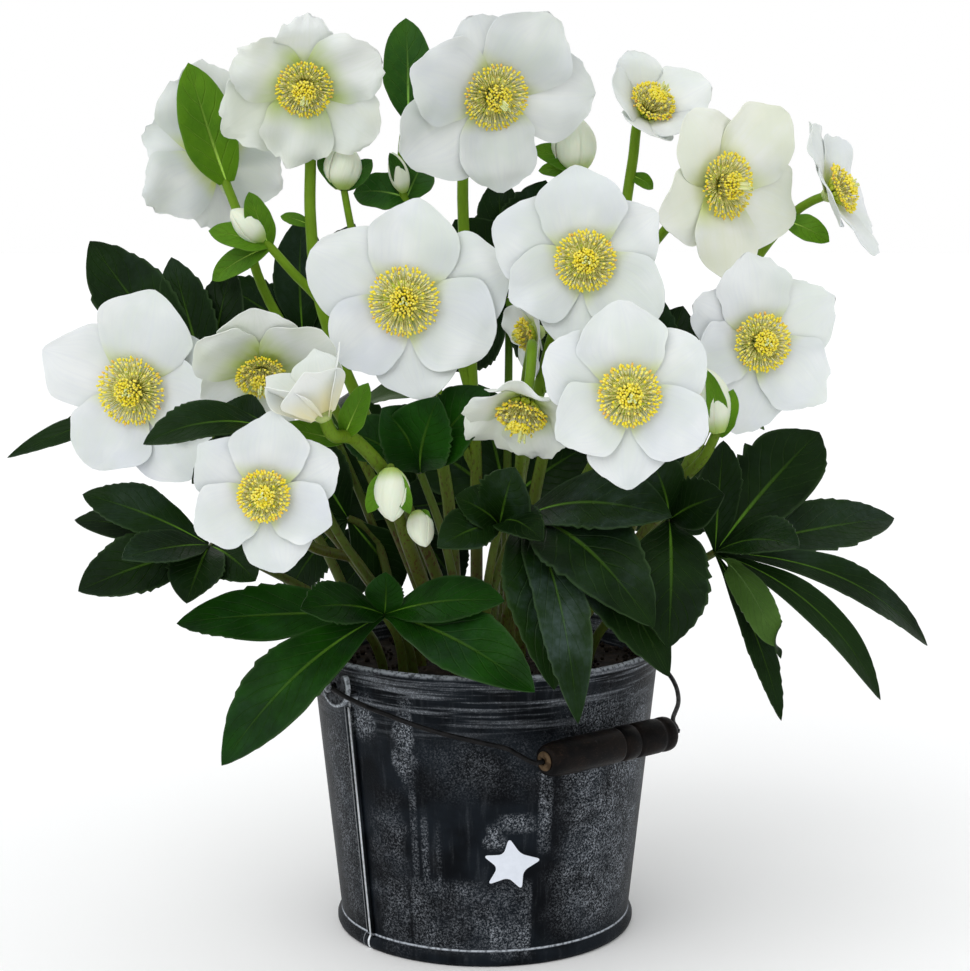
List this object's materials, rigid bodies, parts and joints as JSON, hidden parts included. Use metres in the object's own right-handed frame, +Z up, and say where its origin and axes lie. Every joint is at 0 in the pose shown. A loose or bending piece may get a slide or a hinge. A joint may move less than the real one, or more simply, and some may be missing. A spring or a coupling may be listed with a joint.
{
  "type": "potted hellebore plant",
  "caption": "White-flowering hellebore growing in a dark tapered metal bucket that has a hinged wire bail with a turned wooden grip.",
  "frame": {"origin": "centre of the bucket's flat bottom, on the surface it stands on", "axes": "+Z up along the bucket's axis, -Y towards the side that the blooms face"},
  "size_m": [0.4025, 0.3007, 0.4091],
  "materials": {
    "petal_white": "soft, matt petal",
    "stamen_yellow": "matt anthers",
    "stem_green": "smooth green stem",
    "leaf_green": "leathery leaf with a faint bloom",
    "pail_black": "black paint with a rubbed white wash",
    "soil_brown": "moist potting soil",
    "wire_black": "blackened steel wire",
    "grip_black": "black paint worn on the ridges",
    "ferrule_bronze": "dull bronze washer"
  },
  "bodies": {
    "pot": {"bloom_a_petals": "petal_white", "bloom_a_stamens": "stamen_yellow", "bloom_b_petals": "petal_white", "bloom_b_stamens": "stamen_yellow", "bloom_c_petals": "petal_white", "bloom_c_stamens": "stamen_yellow", "bloom_d_petals": "petal_white", "bloom_d_stamens": "stamen_yellow", "bloom_e_petals": "petal_white", "bloom_e_stamens": "stamen_yellow", "bloom_f_petals": "petal_white", "bloom_f_stamens": "stamen_yellow", "bloom_g_petals": "petal_white", "bloom_g_stamens": "stamen_yellow", "bloom_h_petals": "petal_white", "bloom_h_stamens": "stamen_yellow", "bloom_i_petals": "petal_white", "bloom_i_stamens": "stamen_yellow", "bloom_j_petals": "petal_white", "bloom_j_stamens": "stamen_yellow", "bloom_k_petals": "petal_white", "bloom_k_stamens": "stamen_yellow", "bloom_l_petals": "petal_white", "bloom_l_stamens": "stamen_yellow", "bloom_m_petals": "petal_white", "bloom_m_stamens": "stamen_yellow", "bloom_n_petals": "petal_white", "bloom_n_stamens": "stamen_yellow", "bloom_o_petals": "petal_white", "bloom_o_stamens": "stamen_yellow", "bloom_p_petals": "petal_white", "ear_left": "pail_black", "ear_right": "pail_black", "leaf_a": "leaf_green", "leaf_b": "leaf_green", "leaf_c": "leaf_green", "leaf_d": "leaf_green", "leaf_e": "leaf_green", "leaf_f": "leaf_green", "leaf_g": "leaf_green", "leaf_h": "leaf_green", "leaf_i": "leaf_green", "leaf_j": "leaf_green", "leaf_k": "leaf_green", "leaf_l": "leaf_green", "leaf_m": "leaf_green", "pail": "pail_black", "soil": "soil_brown", "stem_a": "stem_green", "stem_b": "stem_green", "stem_c": "stem_green", "stem_d": "stem_green", "stem_f": "stem_green", "stem_g": "stem_green", "stem_h": "stem_green", "stem_m": "stem_green"},
    "bail": {"bail_wire": "wire_black", "bail_grip": "grip_black", "ferrule_left": "ferrule_bronze", "ferrule_right": "ferrule_bronze"}
  },
  "joints": [
    {"name": "bail_hinge", "type": "hinge", "parent": "pot", "child": "bail", "pos_m": [0, 0, 0.122], "axis": [-0.766, -0.6428, 0], "range_deg": [0, 31]}
  ]
}
